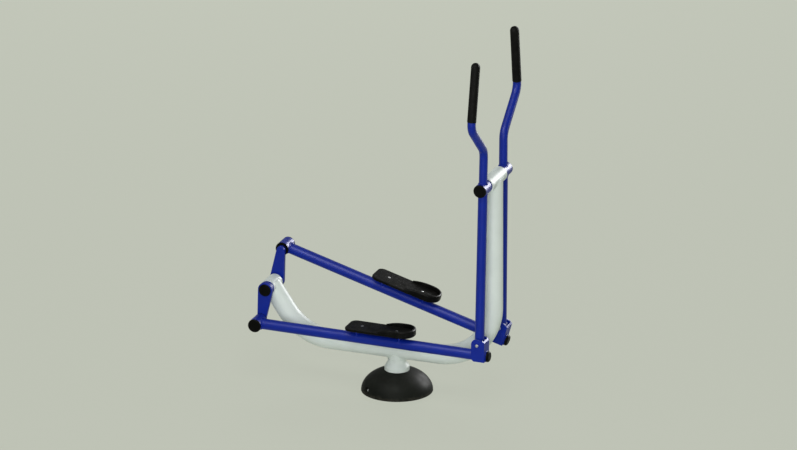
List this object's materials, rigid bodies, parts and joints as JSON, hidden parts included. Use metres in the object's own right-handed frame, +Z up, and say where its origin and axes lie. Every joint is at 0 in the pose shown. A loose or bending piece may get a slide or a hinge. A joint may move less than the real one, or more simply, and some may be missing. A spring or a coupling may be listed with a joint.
{
  "type": "outdoor elliptical cross trainer",
  "caption": "Outdoor elliptical cross trainer: bent tube frame on a domed pedestal, rear crank, pedal bars with toe-cup pedals, and swing arms with gripped handles.",
  "frame": {"origin": "on the ground, at the centre of the base flange and its anchor circle", "axes": "+Z up, +X forward to the handles, +Y to the user's left"},
  "size_m": [1.1478, 0.6068, 1.696],
  "materials": {
    "white_paint": "satin",
    "blue_paint": "gloss",
    "galvanised_steel": "matte",
    "cover_plastic": "satin",
    "cap_plastic": "satin",
    "pedal_plastic": "satin",
    "grip_rubber": "matte",
    "ground_steel": "ground",
    "zinc_plate": "satin",
    "bearing_steel": "polished",
    "nylon": "matte"
  },
  "bodies": {
    "frame": {"main_tube": "white_paint", "end_plates": "white_paint", "hub_tube": "white_paint", "pivot_tube": "white_paint", "pivot_shaft": "ground_steel", "pivot_discs": "ground_steel", "shaft_retainers": "zinc_plate", "hub_bearings": "bearing_steel", "pedestal_post": "white_paint", "pedestal_collar": "white_paint", "base_flange": "galvanised_steel", "base_gussets": "galvanised_steel", "base_cover": "cover_plastic", "cover_screws": "zinc_plate"},
    "crank": {"crank_shaft": "ground_steel", "crank_caps": "cap_plastic", "crank_nuts": "zinc_plate", "crank_pin_roots": "blue_paint", "left_crank_arm": "blue_paint", "right_crank_arm": "blue_paint"},
    "left_arm": {"left_swing_arm": "blue_paint", "left_lower_bush": "blue_paint", "left_bush_liner": "nylon", "left_handle": "blue_paint", "left_grip": "grip_rubber", "left_arm_boss": "blue_paint", "left_arm_bearings": "bearing_steel", "left_arm_cap": "cap_plastic"},
    "left_bar": {"left_pedal_bar": "blue_paint", "left_bar_boss": "blue_paint", "left_bar_bearings": "bearing_steel", "left_bar_cap": "cap_plastic", "left_crank_pin": "ground_steel", "left_bar_plug": "cap_plastic", "left_fork": "blue_paint", "left_fork_bolt": "zinc_plate", "left_pedal": "pedal_plastic", "left_pedal_saddles": "blue_paint", "left_pedal_bolts": "zinc_plate"},
    "right_arm": {"right_swing_arm": "blue_paint", "right_lower_bush": "blue_paint", "right_bush_liner": "nylon", "right_handle": "blue_paint", "right_grip": "grip_rubber", "right_arm_boss": "blue_paint", "right_arm_bearings": "bearing_steel", "right_arm_cap": "cap_plastic"},
    "right_bar": {"right_pedal_bar": "blue_paint", "right_bar_boss": "blue_paint", "right_bar_bearings": "bearing_steel", "right_bar_cap": "cap_plastic", "right_crank_pin": "ground_steel", "right_bar_plug": "cap_plastic", "right_fork": "blue_paint", "right_fork_bolt": "zinc_plate", "right_pedal": "pedal_plastic", "right_pedal_saddles": "blue_paint", "right_pedal_bolts": "zinc_plate"}
  },
  "joints": [
    {"name": "crank_spin", "type": "hinge", "parent": "frame", "child": "crank", "pos_m": [-0.598, 0, 0.416], "axis": [0, 1, 0], "continuous": true},
    {"name": "right_arm_swing", "type": "hinge", "parent": "frame", "child": "right_arm", "pos_m": [0.457, 0, 1.055], "axis": [0, 1, 0], "range_deg": [-10.8, 10]},
    {"name": "left_arm_swing", "type": "hinge", "parent": "frame", "child": "left_arm", "pos_m": [0.457, 0, 1.055], "axis": [0, 1, 0], "range_deg": [-10, 10.8]},
    {"name": "right_bar_pivot", "type": "hinge", "parent": "right_arm", "child": "right_bar", "pos_m": [0.44031, 0, 0.32019], "axis": [0, 1, 0], "range_deg": [-10, 10.8]},
    {"name": "left_bar_pivot", "type": "hinge", "parent": "left_arm", "child": "left_bar", "pos_m": [0.45057, 0, 0.32003], "axis": [0, 1, 0], "range_deg": [-10.8, 10]}
  ],
  "couplings": [
    {"joint": "left_arm_swing", "follows": "right_arm_swing", "ratio": -1},
    {"joint": "right_bar_pivot", "follows": "right_arm_swing", "ratio": -1},
    {"joint": "left_bar_pivot", "follows": "right_arm_swing", "ratio": 1}
  ]
}
